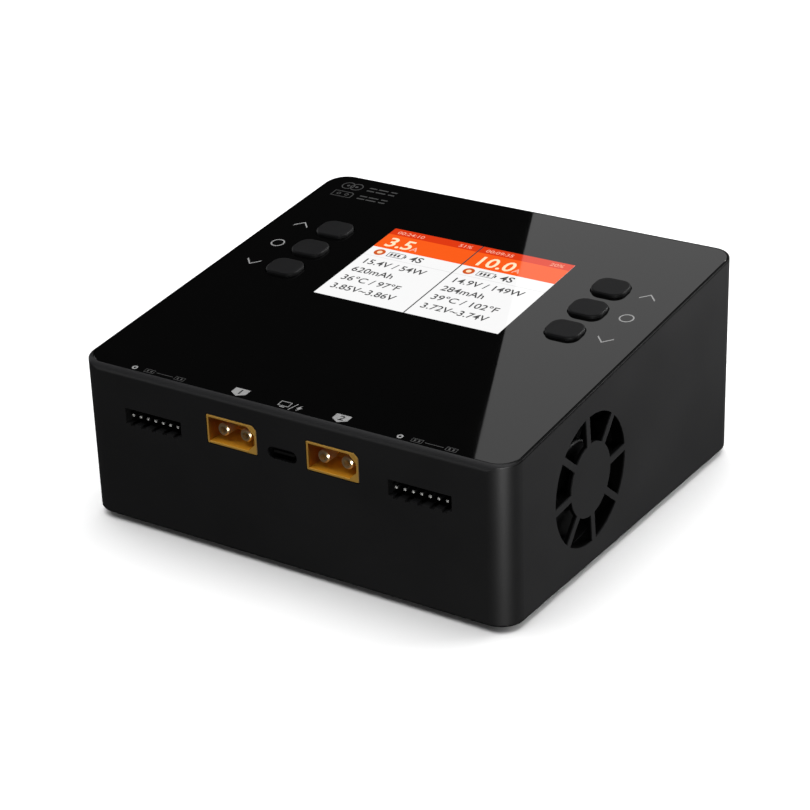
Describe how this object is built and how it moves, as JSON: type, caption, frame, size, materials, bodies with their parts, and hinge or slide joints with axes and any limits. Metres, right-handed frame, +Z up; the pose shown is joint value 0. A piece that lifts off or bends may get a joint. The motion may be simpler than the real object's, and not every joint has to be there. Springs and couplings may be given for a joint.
{
  "type": "balance battery charger",
  "caption": "Dual-channel balance charger: wedge case, sloping glossy panel with lit display, keys that press, power and balance sockets, and a side fan that spins.",
  "frame": {"origin": "on the surface the charger stands on, under the middle of the case", "axes": "+X to the right seen from the front, -Y out of the front face with the sockets, +Z up"},
  "size_m": [0.134, 0.123, 0.06],
  "materials": {
    "case_plastic": "fine moulded texture, matt black",
    "panel_gloss": "glossy black sheet with pale printed symbols",
    "display_lit": "lit display behind a clear window",
    "button_plastic": "smooth matt black caps",
    "plunger_plastic": "moulded",
    "socket_yellow": "amber nylon",
    "socket_black": "black nylon",
    "contact_gold": "gold plated",
    "contact_tin": "bright tin plated",
    "port_steel": "drawn steel",
    "screw_steel": "black zinc",
    "bearing_brass": "turned",
    "heatsink_aluminium": "extruded",
    "board_green": "solder mask on glass fibre board",
    "white_plastic": "moulded",
    "ribbon_grey": "flat cable insulation",
    "lead_insulation": "wire insulation",
    "fan_plastic": "glass filled black",
    "winding_copper": "enamelled wire",
    "winding_tape": "yellow tape over wire",
    "ferrite_grey": "sintered ferrite",
    "capacitor_sleeve": "heat-shrink sleeve",
    "fuse_glass": "clear glass",
    "foot_rubber": "moulded rubber"
  },
  "bodies": {
    "case": {"housing_shell": "case_plastic", "base_cover": "case_plastic", "rubber_feet": "foot_rubber", "base_screws": "screw_steel", "top_panel": "panel_gloss", "display_window": "display_lit", "display_module": "display_lit", "display_tray": "white_plastic", "switch_bodies": "socket_black", "control_board": "board_green", "control_board_screws": "screw_steel", "ribbon_cable": "ribbon_grey", "ribbon_connectors": "white_plastic", "output_socket_left": "socket_yellow", "output_socket_right": "socket_yellow", "output_pins_left": "contact_gold", "output_pins_right": "contact_gold", "balance_header_left": "socket_black", "balance_header_right": "socket_black", "balance_pins_left": "contact_tin", "balance_pins_right": "contact_tin", "data_port_shell": "port_steel", "data_port_tongue": "socket_black", "mains_inlet": "socket_black", "mains_inlet_pins": "contact_tin", "dc_input_socket": "socket_yellow", "dc_input_pins": "contact_gold", "fan_frame": "fan_plastic", "fan_bearing": "bearing_brass", "fan_stator": "winding_copper", "fan_screws": "screw_steel", "fan_lead": "lead_insulation", "charge_board": "board_green", "power_board": "board_green", "board_standoffs": "bearing_brass", "board_screws": "screw_steel", "power_transistors": "socket_black", "heatsink": "heatsink_aluminium", "storage_inductors": "ferrite_grey", "buzzer": "socket_black", "output_capacitors": "capacitor_sleeve", "bulk_capacitor": "capacitor_sleeve", "transformer_core": "ferrite_grey", "transformer_winding": "winding_tape", "line_choke": "winding_copper", "fuse": "fuse_glass"},
    "key_left_up": {"button_left_up": "button_plastic", "plunger_left_up": "plunger_plastic"},
    "key_left_select": {"button_left_select": "button_plastic", "plunger_left_select": "plunger_plastic"},
    "key_left_down": {"button_left_down": "button_plastic", "plunger_left_down": "plunger_plastic"},
    "key_right_up": {"button_right_up": "button_plastic", "plunger_right_up": "plunger_plastic"},
    "key_right_select": {"button_right_select": "button_plastic", "plunger_right_select": "plunger_plastic"},
    "key_right_down": {"button_right_down": "button_plastic", "plunger_right_down": "plunger_plastic"},
    "rotor": {"fan_rotor": "fan_plastic", "fan_shaft": "screw_steel"}
  },
  "joints": [
    {"name": "press_left_up", "type": "slide", "parent": "case", "child": "key_left_up", "axis": [0, 0.1131, -0.9936], "range_m": [0, 0.0005], "stiffness_N_per_m": 400},
    {"name": "press_left_select", "type": "slide", "parent": "case", "child": "key_left_select", "axis": [0, 0.1131, -0.9936], "range_m": [0, 0.0005], "stiffness_N_per_m": 400},
    {"name": "press_left_down", "type": "slide", "parent": "case", "child": "key_left_down", "axis": [0, 0.1131, -0.9936], "range_m": [0, 0.0005], "stiffness_N_per_m": 400},
    {"name": "press_right_up", "type": "slide", "parent": "case", "child": "key_right_up", "axis": [0, 0.1131, -0.9936], "range_m": [0, 0.0005], "stiffness_N_per_m": 400},
    {"name": "press_right_select", "type": "slide", "parent": "case", "child": "key_right_select", "axis": [0, 0.1131, -0.9936], "range_m": [0, 0.0005], "stiffness_N_per_m": 400},
    {"name": "press_right_down", "type": "slide", "parent": "case", "child": "key_right_down", "axis": [0, 0.1131, -0.9936], "range_m": [0, 0.0005], "stiffness_N_per_m": 400},
    {"name": "fan_spin", "type": "hinge", "parent": "case", "child": "rotor", "pos_m": [0.057, -0.0211, 0.0261], "axis": [1, 0, 0], "continuous": true}
  ]
}
